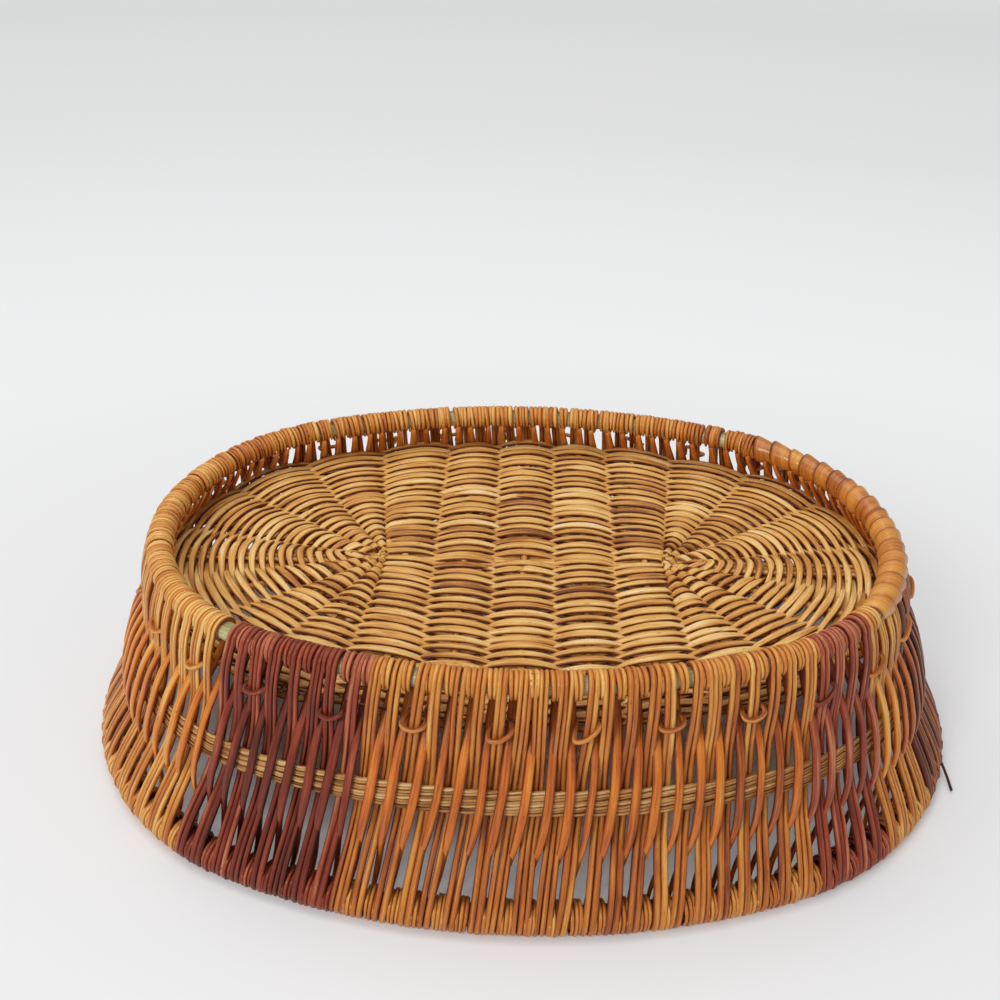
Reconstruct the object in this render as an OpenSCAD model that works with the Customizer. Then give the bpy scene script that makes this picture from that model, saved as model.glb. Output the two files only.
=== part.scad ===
// Oval openwork wicker basket, turned over: it stands on its rim, with its woven base up.
// Millimetres, +Z up. The long axis lies along X and the front is at -Y.
// Every level of the wall is a parallel offset of one four-centred oval, the foot hoop's line.
// The oval is a mason's one: its centres stand at the corners of triangles with sides 5, 12 and 13.

/* [Foot hoop] */
// Length of the foot hoop, between the centre lines of its two ends
foot_length = 237.6; // [210:0.2:290]
// Width of the foot hoop, between the centre lines of its two sides
foot_width = 164; // [146:0.2:190]
// Diameter of the rod in the foot hoop
foot_rod = 5.8; // [4:0.1:8]
// Height of the whole basket, from the table to the top of the wrapped foot
basket_height = 76; // [66:0.5:110]

/* [Rim hoop] */
// How far the rim hoop stands outside the foot hoop, all round
flare = 21.6; // [12:0.2:32]
// Diameter of the rod in the rim hoop
rim_rod = 7; // [5:0.1:9]
// Depth of the flat worn on the underside of the rim's wrapping
rim_flat = 0.3; // [0.1:0.05:0.5]

/* [Wall] */
// Distance from one pair of strands to the next, at half height
unit_pitch = 6.16; // [5.9:0.02:9]
// Thickness of one strand of a pair
pair_strand = 1.3; // [0.9:0.05:1.4]
// Width of a wall stick
stick_width = 2.4; // [1.6:0.1:2.8]
// Thickness of a wall stick
stick_thickness = 1.6; // [1:0.1:2]
// Lean of pairs and sticks from upright
lean = 5; // [0:0.5:8]
// How far the wall bows outwards at half height
wall_bow = 1.6; // [0:0.1:4]

/* [Waist band] */
// Rows of weaving in the band
band_rows = 4; // [1:1:5]
// Thickness of one row of the band
band_strand = 1.9; // [1.2:0.1:2.4]
// Height of the middle of the band above the table
band_middle = 38; // [33:0.5:42]

/* [Wrapping] */
// Thickness of the strand that wraps the hoops
wrap_strand = 1.1; // [0.8:0.05:1.2]
// Turns round the rim between two pairs
rim_turns = 3; // [1:1:3]
// Turns round the foot between two pairs
foot_turns = 2; // [1:1:2]

/* [Base] */
// Depth of the base below the top of the foot
base_recess = 14.5; // [12:0.5:20]
// Diameter of the sticks across the base
cross_stick = 2.6; // [2:0.1:3.2]
// Number of sticks across the base
cross_count = 5; // [3:2:7]
// Thickness of the sticks along the base, which pass through slits in the cross sticks
long_thickness = 1.2; // [0.8:0.1:1.4]
// Width of a stick along the base
long_width = 2.2; // [1.6:0.1:2.4]
// Number of sticks along the base
long_count = 3; // [1:2:3]
// Diameter of the sticks that fan out at each end of the base
fan_stick = 2.2; // [1.6:0.1:2.6]
// Number of fan sticks on each side of the long sticks, at each end
fan_count = 3; // [1:1:3]
// Angle from one fan stick to the next
fan_step = 24; // [20:1:26]
// Distance from one row of the base's weaving to the next
row_pitch = 4; // [3.4:0.1:6]
// Width of one row
row_width = 3.2; // [2:0.1:3.3]
// Thickness of one row
row_thickness = 1.3; // [0.8:0.1:1.8]
// Thickness of the ties that hold the base to the wall
tie_strand = 1.1; // [0.8:0.1:1.3]
// A tie sits on every pair of this number
tie_every = 4; // [2:1:8]

/* [Fit] */
// Gap left where two strands lie against each other
clearance = 0.1; // [0.05:0.01:0.2]

/* [Hidden] */
$fn = 24;
big_fn = 180;
strand_fn = 16;

// Four-centred oval of the foot hoop's centre line, set out on a right triangle
short_side = 5;
upright_side = 12;
long_side = 13;
foot_a = foot_length / 2;
foot_b = foot_width / 2;
triangle = (foot_a - foot_b) / (short_side + upright_side - long_side);
end_centre = short_side * triangle;
side_centre = upright_side * triangle;
end_radius = foot_a - end_centre;
foot_side_radius = end_radius + long_side * triangle;
foot_join = atan2(upright_side, short_side);

// Levels
foot_reach = foot_rod / 2 + clearance + pair_strand;
rim_reach = rim_rod / 2 + clearance + pair_strand;
foot_z = basket_height - foot_reach;
rim_z = rim_reach - rim_flat;
wall_middle = (foot_z + rim_z) / 2;
base_top = basket_height - base_recess;
base_middle = base_top - row_thickness - clearance - cross_stick / 2;
row_lift = cross_stick / 2 + clearance + row_thickness / 2;

// Offset of the wall's own line from the foot hoop at a height
function rise(z) = (z - rim_z) / (foot_z - rim_z);
function wall_line(z) = flare * (1 - rise(z)) + 4 * wall_bow * rise(z) * (1 - rise(z));

// Pairs pass inside the band and outside both hoops, sticks the other way round
band_half = band_rows * (band_strand + clearance) / 2;
pair_at_band = -(band_strand / 2 + clearance + pair_strand / 2);
stick_at_band = band_strand / 2 + clearance + stick_thickness / 2;
pair_at_foot = foot_rod / 2 + clearance + pair_strand / 2;
pair_at_rim = rim_rod / 2 + clearance + pair_strand / 2;
stick_at_foot = -(foot_rod / 2 + wrap_strand + 2 * clearance + stick_thickness / 2);
stick_at_rim = -(rim_rod / 2 + wrap_strand + 2 * clearance + stick_thickness / 2);

// Smooth step from 0 to 1, and the sideways place of a strand between the hoops and the band
function ease(t) = (1 - cos(180 * min(1, max(0, t)))) / 2;
function weave(z, foot, band, rim) =
    z > band_middle
        ? band + (foot - band) * ease((z - band_middle - band_half) / (foot_z - band_middle - band_half))
        : band + (rim - band) * ease((band_middle - band_half - z) / (band_middle - band_half - rim_z));
function pair_line(z) = wall_line(z) + weave(z, pair_at_foot, pair_at_band, pair_at_rim);
function stick_line(z) = wall_line(z) + weave(z, stick_at_foot, stick_at_band, stick_at_rim);

// Edge of the base, just inside the sticks, as an offset from the foot hoop
base_edge = stick_line(base_middle + row_lift + row_thickness / 2) - stick_thickness / 2 - clearance;

// Units round the wall, spaced evenly along the oval at half height
half_flare = flare / 2;
end_arc = 2 * foot_join * PI / 180 * (end_radius + half_flare);
side_arc = (180 - 2 * foot_join) * PI / 180 * (foot_side_radius + half_flare);
girth = 2 * (end_arc + side_arc);
unit_count = round(girth / unit_pitch);
unit_step = girth / unit_count;
// How far past the join of the arcs the first pair stands, as a share of the girth
first_share = 0.0486;

// Place on the oval at an arc length: centre x, centre y, radius on the foot hoop, angle
function on_end(s, side) = [
    side * end_centre, 0, end_radius,
    (side > 0 ? 0 : 180) - foot_join + s / (end_radius + half_flare) * 180 / PI
];
function on_side(s, side) = [
    0, -side * side_centre, foot_side_radius,
    (side > 0 ? 0 : 180) + foot_join + s / (foot_side_radius + half_flare) * 180 / PI
];
function wrapped(s) = s - girth * floor(s / girth);
function half_place(s, side) = s < end_arc ? on_end(s, side) : on_side(s - end_arc, side);
function place_of(s) = s < girth / 2 ? half_place(s, 1) : half_place(s - girth / 2, -1);
function place(s) = place_of(wrapped(s + first_share * girth));

// Sectors of the wall, anticlockwise from the right front, and where each starts as a share of the girth
SECTORS = [
    "right_front", "right_back", "back_right_corner", "back_right", "back_left", "back_left_corner",
    "left_back", "left_front", "front_left", "front_centre", "front_right", "front_right_corner"
];
sector_share = [0, 0.09, 0.175, 0.26, 0.35, 0.44, 0.525, 0.61, 0.707, 0.776, 0.87, 0.966, 1];
red_sectors = [8, 11];
function sector_start(k) = round(sector_share[k] * unit_count);
function sector_units(k) = [for (i = [sector_start(k):sector_start(k + 1) - 1]) i];

// Stretches of the foot's wrapping, each with its first and last sector
FOOT_STRETCHES = [
    ["right", 0, 1], ["back", 2, 5], ["left", 6, 7], ["front_left", 8, 8], ["front", 9, 11]
];

honey = [0.78, 0.47, 0.19];
amber = [0.68, 0.36, 0.13];
red_brown = [0.42, 0.16, 0.08];
straw = [0.84, 0.66, 0.38];
function sector_colour(k, plain) = len(search(k, red_sectors)) > 0 ? red_brown : plain;

// A closed ring that is a parallel offset of the foot hoop's line, with a 2-D section.
// Four full rings are cut where the arcs meet. Close to the middle only the two long sides are left.
cut_reach = foot_length / 5;
// Radii are whole thousandths, so that the arcs meet in one line
function snapped(size) = round(size * 1000) / 1000;
module end_wedge(side) {
    translate([side * end_centre, 0, -cut_reach])
        linear_extrude(2 * cut_reach)
            polygon(cut_reach * [[0, 0], [short_side * side, -upright_side], [short_side * side, upright_side]]);
}
module side_wedge(side) {
    translate([0, -side * side_centre, -cut_reach])
        linear_extrude(2 * cut_reach)
            polygon(cut_reach * [[0, 0], [short_side, upright_side * side], [-short_side, upright_side * side]]);
}
module side_half(side) {
    translate([-foot_length, side > 0 ? 0 : -foot_length, -cut_reach])
        cube([2 * foot_length, foot_length, 2 * cut_reach]);
}
module offset_ring(offset, half_width) {
    reach = snapped(offset);
    rounded = end_radius + reach > half_width;
    for (side = [1, -1]) {
        if (rounded)
            intersection() {
                translate([side * end_centre, 0, 0])
                    rotate_extrude($fn = big_fn)
                        translate([end_radius + reach, 0])
                            children();
                end_wedge(side);
            }
        intersection() {
            translate([0, -side * side_centre, 0])
                rotate_extrude($fn = big_fn)
                    translate([foot_side_radius + reach, 0])
                        children();
            if (rounded)
                side_wedge(side);
            else
                side_half(side);
        }
    }
}

// Local frame at an arc length: X outwards, zero on the foot hoop's line, Y along the wall
module at_place(s) {
    p = place(s);
    translate([p[0], p[1], 0])
        rotate([0, 0, p[3]])
            translate([p[2], 0, 0])
                children();
}

// Arc length on the half-height oval for a distance measured along the wall at an offset
function along(s, distance, offset) = distance * (place(s)[2] + half_flare) / (place(s)[2] + offset);

// How far a leaning strand has moved along the wall at a height
function lean_shift(z) = tan(lean) * (z - wall_middle);

// Outline of a strip of even thickness along a path
function path_way(path, i) =
    path[min(len(path) - 1, i + 1)] - path[max(0, i - 1)];
function path_side(path, i, reach) =
    path[i] + reach * [-path_way(path, i)[1], path_way(path, i)[0]] / norm(path_way(path, i));
function strip(path, thickness) = concat(
    [for (i = [0:len(path) - 1]) path_side(path, i, thickness / 2)],
    [for (i = [len(path) - 1:-1:0]) path_side(path, i, -thickness / 2)]
);

// Points of an arc, as offsets and heights
function arc_path(x, z, radius, from, to, steps) = [
    for (i = [0:steps]) let (t = from + (to - from) * i / steps) [x + radius * cos(t), z + radius * sin(t)]
];

// A leaning strand keeps its heights, so its outline is drawn longer before it is tilted
function stretched(points) = [
    for (p = points) [p[0], wall_middle + (p[1] - wall_middle) / cos(lean)]
];
// Strands under the rim are pressed flat just above the table
function pressed(points) = [for (p = points) [p[0], max(p[1], rim_flat)]];

module leaning_strip(points, width, shift) {
    translate([0, shift, wall_middle])
        rotate([-lean, 0, 0])
            translate([0, width / 2, -wall_middle])
                rotate([90, 0, 0])
                    linear_extrude(width)
                        polygon(stretched(pressed(points)));
}

// A pair hooks over the foot hoop, runs down inside the band and hooks under the rim hoop
hook_steps = 4;
wall_steps = 6;
foot_hook = 170;
rim_hook = -150;
pair_path = concat(
    arc_path(0, foot_z, pair_at_foot, foot_hook, 0, hook_steps),
    [for (i = [1:wall_steps - 1]) let (z = foot_z + (rim_z - foot_z) * i / wall_steps) [pair_line(z), z]],
    arc_path(flare, rim_z, pair_at_rim, 0, rim_hook, hook_steps)
);
pair_gap = pair_strand + clearance;

module wall_pairs(k) {
    color(sector_colour(k, honey))
        for (i = sector_units(k), side = [-0.5, 0.5])
            at_place(i * unit_step)
                leaning_strip(strip(pair_path, pair_strand), pair_strand, side * pair_gap);
}

// A stick starts inside the foot hoop, crosses outside the band and ends inside the rim hoop
stick_end = rim_rod / 4;
stick_path = [
    for (i = [0:wall_steps])
        let (z = foot_z + (rim_z - stick_end - foot_z) * i / wall_steps) [stick_line(max(z, rim_z)), z]
];

module wall_sticks(k) {
    color(sector_colour(k, amber))
        for (i = sector_units(k))
            at_place((i + 0.5) * unit_step)
                leaning_strip(strip(stick_path, stick_thickness), stick_width, 0);
}

// One turn of the wrapping strand round a hoop, worn flat where it would pass below the table
module turn(offset, z, rod) {
    inner = rod / 2 + clearance;
    outer = inner + wrap_strand;
    translate([offset, wrap_strand / 2, z])
        rotate([90, 0, 0])
            linear_extrude(wrap_strand)
                intersection() {
                    difference() {
                        circle(outer);
                        circle(inner);
                    }
                    translate([-outer, -min(outer, z)])
                        square([2 * outer, outer + min(outer, z)]);
                }
}

// Arc length of a pair where it crosses a hoop, and of one turn between two pairs
function pair_place(i, offset, z) = i * unit_step + along(i * unit_step, lean_shift(z), offset);
function turn_place(i, j, turns, offset, z) =
    let (s = (pair_place(i, offset, z) + pair_place(i + 1, offset, z)) / 2)
    s + along(s, (j - (turns - 1) / 2) * (wrap_strand + clearance), offset);

module rim_wraps(k) {
    color(sector_colour(k, honey))
        for (i = sector_units(k), j = [0:rim_turns - 1])
            at_place(turn_place(i, j, rim_turns, flare, rim_z))
                turn(flare, rim_z, rim_rod);
}

module foot_wraps(stretch) {
    for (k = [stretch[1]:stretch[2]])
        color(sector_colour(k, honey))
            for (i = sector_units(k), j = [0:foot_turns - 1])
                at_place(turn_place(i, j, foot_turns, 0, foot_z))
                    turn(0, foot_z, foot_rod);
}

// Round rods bent to the oval inside the wrapping
module rim_hoop() {
    color(amber)
        translate([0, 0, rim_z])
            offset_ring(flare, rim_rod / 2)
                circle(d = rim_rod);
}

module foot_hoop() {
    color(straw)
        translate([0, 0, foot_z])
            offset_ring(0, foot_rod / 2)
                circle(d = foot_rod);
}

// One row of the waist band, between the pairs inside it and the sticks outside it
module band_row(r) {
    z = band_middle - band_half + (r - 0.5) * (band_strand + clearance);
    color(straw)
        translate([0, 0, z])
            offset_ring(wall_line(z), band_strand / 2)
                circle(d = band_strand, $fn = strand_fn);
}

// Half width of the base's edge at a place along it
edge_side_radius = foot_side_radius + base_edge;
function edge_half_width(x) = sqrt(pow(edge_side_radius, 2) - x * x) - side_centre;

// Sticks across the base, slit in the middle for the sticks along it. The last ones stand just short of the
// centres of the two ends.
cross_share = 0.87;
cross_step = 2 * cross_share * end_centre / (cross_count - 1);
slit_width = long_count * (long_width + clearance) + clearance;
slit_height = long_thickness + 2 * clearance;

module base_cross_sticks() {
    color(straw)
        for (i = [0:cross_count - 1]) {
            x = (i - (cross_count - 1) / 2) * cross_step;
            translate([x, 0, base_middle])
                difference() {
                    rotate([90, 0, 0])
                        cylinder(d = cross_stick, h = 2 * edge_half_width(x), center = true);
                    cube([2 * cross_stick, slit_width, slit_height], center = true);
                }
        }
}

module base_long_sticks() {
    color(straw)
        for (i = [0:long_count - 1])
            translate([0, (i - (long_count - 1) / 2) * (long_width + clearance), base_middle])
                cube([foot_length + 2 * base_edge - 2 * row_width, long_width, long_thickness], center = true);
}

// Sticks that fan out at the two ends, from beside the long sticks to the edge
fan_start = (slit_width + fan_stick) / 2 / sin(fan_step) + clearance;

module base_fan_sticks() {
    color(straw)
        for (end = [0, 180], side = [-1, 1], n = [1:fan_count])
            rotate([0, 0, end])
                translate([end_centre, 0, base_middle])
                    rotate([0, 0, side * n * fan_step])
                        translate([fan_start, 0, 0])
                            rotate([0, 90, 0])
                                cylinder(d = fan_stick, h = end_radius + base_edge - fan_start);
}

// Rows of weaving from the edge inwards, each with one strip over the sticks and one under them
edge_row = base_edge - row_width / 2;
row_count = floor((foot_b + edge_row - row_width) / row_pitch) + 1;

module base_row(n) {
    for (side = [-1, 1])
        translate([0, 0, base_middle + side * row_lift])
            offset_ring(edge_row - n * row_pitch, row_width / 2 + clearance)
                square([row_width, row_thickness], center = true);
}

module base_weave(first, last) {
    color(straw)
        for (n = [first:last])
            base_row(n);
}
outer_rows = floor(row_count / 3);
middle_rows = floor(2 * row_count / 3);

// Ties: a loop round a pair, with a tail that reaches the edge of the base
tie_z = base_middle + row_lift;
tie_radius = pair_strand / 2 + clearance + tie_strand / 2;

module tie() {
    for (side = [-1, 1]) {
        translate([0, side * pair_gap / 2, 0])
            rotate([0, 0, side * 90 - 90])
                rotate_extrude(angle = 180)
                    translate([tie_radius, 0])
                        circle(d = tie_strand, $fn = strand_fn);
        translate([side * tie_radius, 0, 0])
            rotate([90, 0, 0])
                cylinder(d = tie_strand, h = pair_gap, center = true, $fn = strand_fn);
    }
    tail = pair_line(tie_z) - base_edge - clearance - tie_radius;
    translate([-tie_radius, 0, 0])
        rotate([0, -90, 0])
            cylinder(d = tie_strand, h = tail, $fn = strand_fn);
}

module base_ties() {
    color(honey)
        for (i = [0:tie_every:unit_count - tie_every / 2])
            at_place(i * unit_step)
                translate([pair_line(tie_z), lean_shift(tie_z), tie_z])
                    tie();
}

rim_hoop();
foot_hoop();
base_cross_sticks();
base_long_sticks();
base_fan_sticks();
base_ties();
base_weave(middle_rows, row_count - 1);  // base_weave_inner
base_weave(outer_rows, middle_rows - 1);  // base_weave_middle
base_weave(0, outer_rows - 1);  // base_weave_outer
for (r = [1:band_rows])
    band_row(r);
for (f = FOOT_STRETCHES)
    foot_wraps(f);
for (k = [0:len(SECTORS) - 1]) {
    rim_wraps(k);
    wall_pairs(k);
    wall_sticks(k);
}
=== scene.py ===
# %% [markdown]
# An oval wicker basket, turned over
#
# A basket maker's work is all strands: rods bent into hoops, thin strands hooked over them, flat strips
# woven through sticks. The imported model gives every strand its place. This lesson sweeps each of them
# again as a real strand, with its own bends, width and colour, and gives it a wicker finish.

# %% Load the frame
import math

import bpy
import numpy as np
from mathutils import Matrix, Vector


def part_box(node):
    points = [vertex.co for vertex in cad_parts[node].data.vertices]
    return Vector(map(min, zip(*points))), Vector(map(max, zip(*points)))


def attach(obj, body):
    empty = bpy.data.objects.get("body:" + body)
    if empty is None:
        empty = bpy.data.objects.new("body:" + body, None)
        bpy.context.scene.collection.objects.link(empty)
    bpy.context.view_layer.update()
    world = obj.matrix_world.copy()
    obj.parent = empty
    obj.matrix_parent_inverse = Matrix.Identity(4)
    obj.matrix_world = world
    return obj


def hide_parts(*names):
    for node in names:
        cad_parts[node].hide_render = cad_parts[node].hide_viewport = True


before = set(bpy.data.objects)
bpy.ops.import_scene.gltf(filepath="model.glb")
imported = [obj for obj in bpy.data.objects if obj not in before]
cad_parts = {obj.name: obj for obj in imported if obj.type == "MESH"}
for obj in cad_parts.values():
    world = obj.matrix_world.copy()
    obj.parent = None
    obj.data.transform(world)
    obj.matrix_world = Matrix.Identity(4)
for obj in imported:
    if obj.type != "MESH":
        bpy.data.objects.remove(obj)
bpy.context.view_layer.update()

# %% [markdown]
# The camera
#
# The basket is seen from the front, a little above, and from close by, so the near wall looks large. A
# camera can be aimed with a Track To constraint, but here its three axes are worked out from pitch,
# turn and roll, because a small roll can't be set by aiming.

# %% Camera
SENSOR_MM = 36
LENS_MM = 46.8
NEAREST_SEEN = 0.01
camera_place = Vector((0, -0.3655, 0.2964))
camera_pitch, camera_turn, camera_roll = 0.529, 0.023, 0.015

level_right = Vector((math.cos(camera_turn), math.sin(camera_turn), 0))
level_ahead = Vector((-math.sin(camera_turn), math.cos(camera_turn), 0))
up = Vector((0, 0, 1))
look = level_ahead * math.cos(camera_pitch) - up * math.sin(camera_pitch)
above = level_ahead * math.sin(camera_pitch) + up * math.cos(camera_pitch)
camera_x = level_right * math.cos(camera_roll) + above * math.sin(camera_roll)
camera_y = above * math.cos(camera_roll) - level_right * math.sin(camera_roll)

camera_data = bpy.data.cameras.new("front_camera")
camera_data.sensor_width = SENSOR_MM
camera_data.lens = LENS_MM
camera_data.clip_start = NEAREST_SEEN
camera = bpy.data.objects.new("front_camera", camera_data)
camera.matrix_world = Matrix((camera_x, camera_y, -look)).transposed().to_4x4()
camera.location = camera_place
bpy.context.scene.collection.objects.link(camera)
bpy.context.scene.camera = camera
print("camera at", list(camera.location))

# %% [markdown]
# Sizes from the two hoops
#
# Everything in the basket follows two round rods: the narrow hoop of the foot, on top here, and the
# wide hoop of the rim, on the table. Their boxes give the basket's length, width, height and flare, so
# nothing has to be typed in twice. Lengths below are in millimetres, and become metres when a mesh is
# made.

# %% Hoops and levels
MM = 0.001


def box_mm(node):
    """Lowest and highest corner of a solid part, in millimetres."""
    low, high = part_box(node)
    return np.array(low) / MM, np.array(high) / MM


def hoop_size(node):
    """Half length, half width and height of a hoop's centre line, and the thickness of its rod."""
    low, high = box_mm(node)
    rod = high[2] - low[2]
    return high[0] - rod / 2, high[1] - rod / 2, (low[2] + high[2]) / 2, rod


foot_a, foot_b, foot_z, foot_rod = hoop_size("foot_hoop")
rim_a, rim_b, rim_z, rim_rod = hoop_size("rim_hoop")
flare = rim_a - foot_a

BAND_NODES = ["band_row_1", "band_row_2", "band_row_3", "band_row_4"]
band_low = box_mm(BAND_NODES[0])[0][2]
band_high = box_mm(BAND_NODES[-1])[1][2]
band_middle = (band_low + band_high) / 2
cross_low, cross_high = box_mm("base_cross_sticks")
base_middle = (cross_low[2] + cross_high[2]) / 2
cross_stick = cross_high[2] - cross_low[2]
print("foot", foot_a, foot_b, foot_z, "rim", rim_a, rim_b, rim_z, "band", band_middle, "base", base_middle)

# %% [markdown]
# The oval of the wall
#
# The hoops are four-centred ovals: two tight arcs at the ends and two slack ones along the sides. Every
# level of the wall is the same oval moved outwards, so a place on the wall is three numbers: how far
# round, how far out and how high. A circle curve could be scaled to nearly this shape, but its spacing
# isn't even, and strands have to be spaced evenly. So a function turns these three numbers into points.

# %% Oval
SHORT_SIDE, UPRIGHT_SIDE, LONG_SIDE = 5, 12, 13
triangle = (foot_a - foot_b) / (SHORT_SIDE + UPRIGHT_SIDE - LONG_SIDE)
end_centre = SHORT_SIDE * triangle
side_centre = UPRIGHT_SIDE * triangle
end_radius = foot_a - end_centre
side_radius = end_radius + LONG_SIDE * triangle
join_angle = math.atan2(UPRIGHT_SIDE, SHORT_SIDE)
half_flare = flare / 2
end_arc = 2 * join_angle * (end_radius + half_flare)
side_arc = (math.pi - 2 * join_angle) * (side_radius + half_flare)
girth = 2 * (end_arc + side_arc)

UNIT_PITCH = 6.16
FIRST_SHARE = 0.0486
unit_count = round(girth / UNIT_PITCH)
unit_step = girth / unit_count


def oval_frame(s):
    """Centre, radius on the foot hoop and angle of the oval, at arc lengths s of the half-height oval."""
    s = np.mod(s + FIRST_SHARE * girth, girth)
    second = s >= girth / 2
    part = np.where(second, s - girth / 2, s)
    on_end = part < end_arc
    sign = np.where(second, -1.0, 1.0)
    end_angle = part / (end_radius + half_flare) - join_angle
    side_angle = (part - end_arc) / (side_radius + half_flare) + join_angle
    angle = np.where(on_end, end_angle, side_angle) + np.where(second, math.pi, 0.0)
    centre_x = np.where(on_end, sign * end_centre, 0.0)
    centre_y = np.where(on_end, 0.0, -sign * side_centre)
    return centre_x, centre_y, np.where(on_end, end_radius, side_radius), angle


def wall_points(s, along, offset, z):
    """Points at arc lengths s, moved along, out from the foot hoop's line and up; and the way along."""
    s, along, offset, z = np.broadcast_arrays(s, along, offset, z)
    radius = oval_frame(s)[2]
    centre_x, centre_y, radius, angle = oval_frame(s + along * (radius + half_flare) / (radius + offset))
    reach = radius + offset
    points = np.stack([centre_x + reach * np.cos(angle), centre_y + reach * np.sin(angle), z], -1)
    way = np.stack([-np.sin(angle), np.cos(angle), np.zeros_like(angle)], -1)
    return points, way


print("units round the wall:", unit_count, "each", unit_step)

# %% [markdown]
# One tool for every strand
#
# A strand is a section carried along a path. Curve objects with a bevel can do that, but they can't be
# wide and thin with the flat side held against the wall, and they carry no numbers for the finish. So a
# small tool builds the mesh: rings of points along the path, joined by quads, closed at the ends. Each
# point remembers how far along its strand it lies and where in the section, so that the fibres run with
# the strand, and each strand has a tint.

# %% Strand tool
ROUND_SIDES = 10
GRAIN_START = 37.7
# How much darker the tint is along a strand's two edges: painted shade where strands touch.
SEAM_SHADE, SEAM_SHARPNESS = 0.46, 4


def unit_vectors(vectors):
    return vectors / np.linalg.norm(vectors, axis=-1, keepdims=True)


class Bundle:
    """The strands of one piece, collected until the mesh is made."""

    def __init__(self):
        self.points, self.faces, self.grain, self.tint, self.finish = [], [], [], [], []
        self.count = 0
        self.strands = 0

    def strand(self, path, side, width, thickness, tint,
               sides=ROUND_SIDES, square=1.0, closed=False, finish=0, seam_shade=SEAM_SHADE):
        """Sweeps a section along a path. Width lies along side, and square below 1 makes it boxier.

        The tint is darker along the two edges, as painted shade where strands touch.
        """
        path = np.asarray(path, float)
        number = len(path)
        ahead = np.roll(path, -1, 0) - np.roll(path, 1, 0)
        if not closed:
            ahead[0] = path[1] - path[0]
            ahead[-1] = path[-1] - path[-2]
        way = unit_vectors(ahead)
        normal = unit_vectors(np.cross(way, np.broadcast_to(side, path.shape)))
        across = np.cross(normal, way)
        angle = np.arange(sides) * 2 * math.pi / sides
        cosine = np.sign(np.cos(angle)) * np.abs(np.cos(angle)) ** square
        sine = np.sign(np.sin(angle)) * np.abs(np.sin(angle)) ** square
        half_width = np.broadcast_to(np.asarray(width, float) / 2, (number,))
        half_thickness = np.broadcast_to(np.asarray(thickness, float) / 2, (number,))
        out = half_width[:, None] * cosine
        lift = half_thickness[:, None] * sine
        sideways = across[:, None, :] * out[..., None]
        upwards = normal[:, None, :] * lift[..., None]
        rings = path[:, None, :] + sideways + upwards
        steps = np.linalg.norm(np.diff(path, axis=0), axis=1)
        length = np.concatenate([[0], np.cumsum(steps)])
        start = self.strands * GRAIN_START
        grain = np.stack([np.broadcast_to(length[:, None], out.shape) + start, out + start, lift], -1)

        index = self.count + np.arange(number * sides).reshape(number, sides)
        here = index if closed else index[:-1]
        there = np.roll(index, -1, 0) if closed else index[1:]
        quads = np.stack([here, np.roll(here, -1, 1), np.roll(there, -1, 1), there], -1)
        self.faces.extend(quads.reshape(-1, 4).tolist())
        if not closed:
            self.faces.append(index[0, ::-1].tolist())
            self.faces.append(index[-1].tolist())
        self.finish.extend([finish] * (len(self.faces) - len(self.finish)))
        self.points.append(rings.reshape(-1, 3))
        self.grain.append(grain.reshape(-1, 3))
        # Painted shade along the two edges of the section.
        edge_shade = seam_shade * np.cos(angle) ** SEAM_SHARPNESS
        self.tint.append((np.broadcast_to(tint, (number,))[:, None] - edge_shade).ravel())
        self.count += number * sides
        self.strands += 1


print("sides of a round strand:", ROUND_SIDES)


# %% From strands to a piece
def make_piece(name, bundle, finishes, slot, *nodes):
    """Makes one mesh of a bundle. It rides on the basket and stands for the solid parts named."""
    mesh = bpy.data.meshes.new(name)
    mesh.from_pydata((np.concatenate(bundle.points) * MM).tolist(), [], bundle.faces)
    grain = mesh.attributes.new("grain", "FLOAT_VECTOR", "POINT")
    grain.data.foreach_set("vector", np.concatenate(bundle.grain).astype(np.float32).ravel())
    tint = mesh.attributes.new("tint", "FLOAT", "POINT")
    tint.data.foreach_set("value", np.concatenate(bundle.tint).astype(np.float32))
    mesh.polygons.foreach_set("use_smooth", np.ones(len(mesh.polygons), bool))
    mesh.polygons.foreach_set("material_index", bundle.finish)
    for finish in finishes:
        mesh.materials.append(finish)
    mesh.update()
    piece = bpy.data.objects.new(name, mesh)
    bpy.context.scene.collection.objects.link(piece)
    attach(piece, "root")
    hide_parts(*nodes)
    print(name, "strands", bundle.strands, "points", bundle.count)


print("solid parts to stand for:", len(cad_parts))

# %% [markdown]
# Wicker finishes
#
# Peeled wicker shows fine fibres along each strand, slow blotches from stain and sun, small dark
# flecks, and a thin varnish. Photographed bark could be laid on as a texture, but noise stretched along
# the strand does the same with no picture. The strand's tint picks its place on a colour ramp, so
# neighbours differ as they do on a real basket.

# %% Finish tool
NOISE_LOW, NOISE_HIGH, NOISE_ROUGHNESS = 0.3, 0.7, 0.6
FIBRE_ALONG, FIBRE_ACROSS, FIBRE_DETAIL, FIBRE_DEPTH = 0.06, 1.5, 4, 0.0004
BLOTCH_SCALE, BLOTCH_DETAIL = (0.05, 0.22, 0.22), 3
FLECK_SCALE, FLECK_DETAIL = (0.35, 1.5, 1.5), 2
FLECK_COLOUR, FLECK_STRENGTH = (0.42, 0.32, 0.26, 1), 0.75
FLECK_LOW, FLECK_HIGH = 0.62, 0.74
VARNISH_ROUGHNESS = 0.14


def linear(red, green, blue):
    """A colour in screen values from 0 to 255, as the linear values that a shader takes."""
    share = np.array([red, green, blue]) / 255
    return (*(((share + 0.055) / 1.055) ** 2.4), 1.0)


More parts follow.
